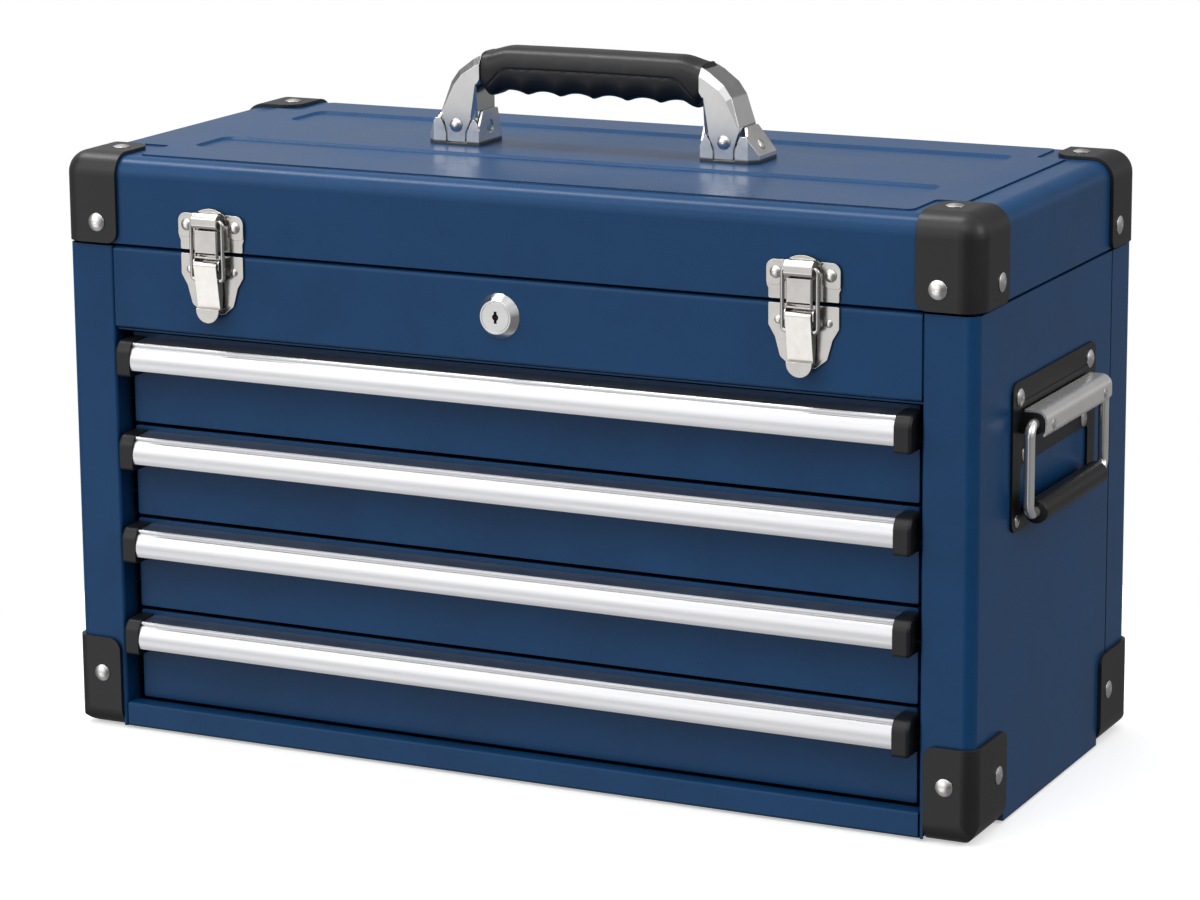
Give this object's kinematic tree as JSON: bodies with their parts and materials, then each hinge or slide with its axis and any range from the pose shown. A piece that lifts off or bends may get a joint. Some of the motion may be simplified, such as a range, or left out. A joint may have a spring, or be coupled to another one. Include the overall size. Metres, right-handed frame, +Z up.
{
  "type": "portable tool box with drawers",
  "caption": "Portable steel tool box: hinged lid with draw latches and a carrying handle over a top tray, a stack of drawers below, folding side handles, plastic corner caps.",
  "frame": {"origin": "centre of the footprint, on the plane of the lower corner caps' undersides", "axes": "+X to the right seen from the front, +Y to the back, +Z up; the drawers open towards -Y"},
  "size_m": [0.5508, 0.2451, 0.3721],
  "materials": {
    "navy_paint": "satin powder coat, dark navy",
    "cap_plastic": "black, fine satin",
    "pull_aluminium": "satin anodised",
    "nickel_fittings": "satin nickel plated steel",
    "nickel_rivets": "satin nickel",
    "lock_metal": "bright nickel",
    "handle_chrome": "bright plated steel",
    "grip_plastic": "black, moulded",
    "black_plate": "black satin paint",
    "zinc_steel": "zinc plated",
    "hinge_steel": "nickel plated"
  },
  "bodies": {
    "cabinet": {"side_panel_left": "navy_paint", "side_panel_right": "navy_paint", "back_panel": "navy_paint", "base_pan": "navy_paint", "header_rail": "navy_paint", "compartment_floor": "navy_paint", "runner_frames": "navy_paint", "cabinet_runners": "zinc_steel", "hinge_leaf_lower": "hinge_steel", "hinge_pin": "hinge_steel", "corner_caps_lower": "cap_plastic", "corner_rivets_lower": "nickel_rivets", "fitting_rivets_cabinet": "nickel_rivets", "latch_base_plates": "nickel_fittings", "latch_lever_pins": "nickel_fittings", "lock_barrel": "lock_metal", "lock_nut": "lock_metal", "side_handle_plate_left": "black_plate", "side_handle_plate_right": "black_plate", "side_handle_seats": "nickel_fittings"},
    "lid": {"lid_skin": "navy_paint", "lid_end_left": "navy_paint", "lid_end_right": "navy_paint", "corner_caps_upper": "cap_plastic", "corner_rivets_upper": "nickel_rivets", "latch_catches": "nickel_fittings", "fitting_rivets_lid": "nickel_rivets", "hinge_leaf_upper": "hinge_steel", "handle_brackets": "handle_chrome", "handle_pins": "handle_chrome"},
    "top_handle": {"handle_legs": "handle_chrome", "handle_grip": "grip_plastic", "handle_rivets": "nickel_rivets"},
    "latch_lever_left_body": {"latch_lever_left": "nickel_fittings"},
    "latch_lever_right_body": {"latch_lever_right": "nickel_fittings"},
    "latch_bail_left_body": {"latch_bail_left": "nickel_fittings"},
    "latch_bail_right_body": {"latch_bail_right": "nickel_fittings"},
    "lock": {"lock_plug": "lock_metal", "lock_cam": "lock_metal"},
    "side_handle_left": {"side_handle_bail_left": "handle_chrome", "side_handle_grip_left": "grip_plastic"},
    "side_handle_right": {"side_handle_bail_right": "handle_chrome", "side_handle_grip_right": "grip_plastic"},
    "drawer_1": {"drawer_1_tray": "navy_paint", "drawer_1_pull": "pull_aluminium", "drawer_1_end_caps": "cap_plastic", "drawer_1_runners": "zinc_steel"},
    "drawer_2": {"drawer_2_tray": "navy_paint", "drawer_2_pull": "pull_aluminium", "drawer_2_end_caps": "cap_plastic", "drawer_2_runners": "zinc_steel"},
    "drawer_3": {"drawer_3_tray": "navy_paint", "drawer_3_pull": "pull_aluminium", "drawer_3_end_caps": "cap_plastic", "drawer_3_runners": "zinc_steel"},
    "drawer_4": {"drawer_4_tray": "navy_paint", "drawer_4_pull": "pull_aluminium", "drawer_4_end_caps": "cap_plastic", "drawer_4_runners": "zinc_steel"}
  },
  "joints": [
    {"name": "lid_hinge", "type": "hinge", "parent": "cabinet", "child": "lid", "pos_m": [0, 0.11975, 0.2691], "axis": [-1, 0, 0], "range_deg": [0, 100]},
    {"name": "top_handle_hinge", "type": "hinge", "parent": "lid", "child": "top_handle", "pos_m": [0, 0.00505, 0.3261], "axis": [-1, 0, 0], "range_deg": [0, 80]},
    {"name": "lock_turn", "type": "hinge", "parent": "cabinet", "child": "lock", "pos_m": [0, -0.10345, 0.2485], "axis": [0, 1, 0], "range_deg": [0, 90]},
    {"name": "side_handle_left_hinge", "type": "hinge", "parent": "cabinet", "child": "side_handle_left", "pos_m": [-0.268, -0.00445, 0.2045], "axis": [0, 1, 0], "range_deg": [0, 90]},
    {"name": "side_handle_right_hinge", "type": "hinge", "parent": "cabinet", "child": "side_handle_right", "pos_m": [0.268, -0.00445, 0.2045], "axis": [0, -1, 0], "range_deg": [0, 90]},
    {"name": "latch_lever_left_hinge", "type": "hinge", "parent": "cabinet", "child": "latch_lever_left_body", "pos_m": [-0.1693, -0.11875, 0.2629], "axis": [-1, 0, 0], "range_deg": [0, 100]},
    {"name": "latch_bail_left_hinge", "type": "hinge", "parent": "lid", "child": "latch_bail_left_body", "pos_m": [-0.1693, -0.11915, 0.2868], "axis": [-1, 0, 0], "range_deg": [0, 110]},
    {"name": "latch_lever_right_hinge", "type": "hinge", "parent": "cabinet", "child": "latch_lever_right_body", "pos_m": [0.1693, -0.11875, 0.2629], "axis": [-1, 0, 0], "range_deg": [0, 100]},
    {"name": "latch_bail_right_hinge", "type": "hinge", "parent": "lid", "child": "latch_bail_right_body", "pos_m": [0.1693, -0.11915, 0.2868], "axis": [-1, 0, 0], "range_deg": [0, 110]},
    {"name": "drawer_1_slide", "type": "slide", "parent": "cabinet", "child": "drawer_1", "axis": [0, -1, 0], "range_m": [0, 0.17]},
    {"name": "drawer_2_slide", "type": "slide", "parent": "cabinet", "child": "drawer_2", "axis": [0, -1, 0], "range_m": [0, 0.17]},
    {"name": "drawer_3_slide", "type": "slide", "parent": "cabinet", "child": "drawer_3", "axis": [0, -1, 0], "range_m": [0, 0.17]},
    {"name": "drawer_4_slide", "type": "slide", "parent": "cabinet", "child": "drawer_4", "axis": [0, -1, 0], "range_m": [0, 0.17]}
  ]
}
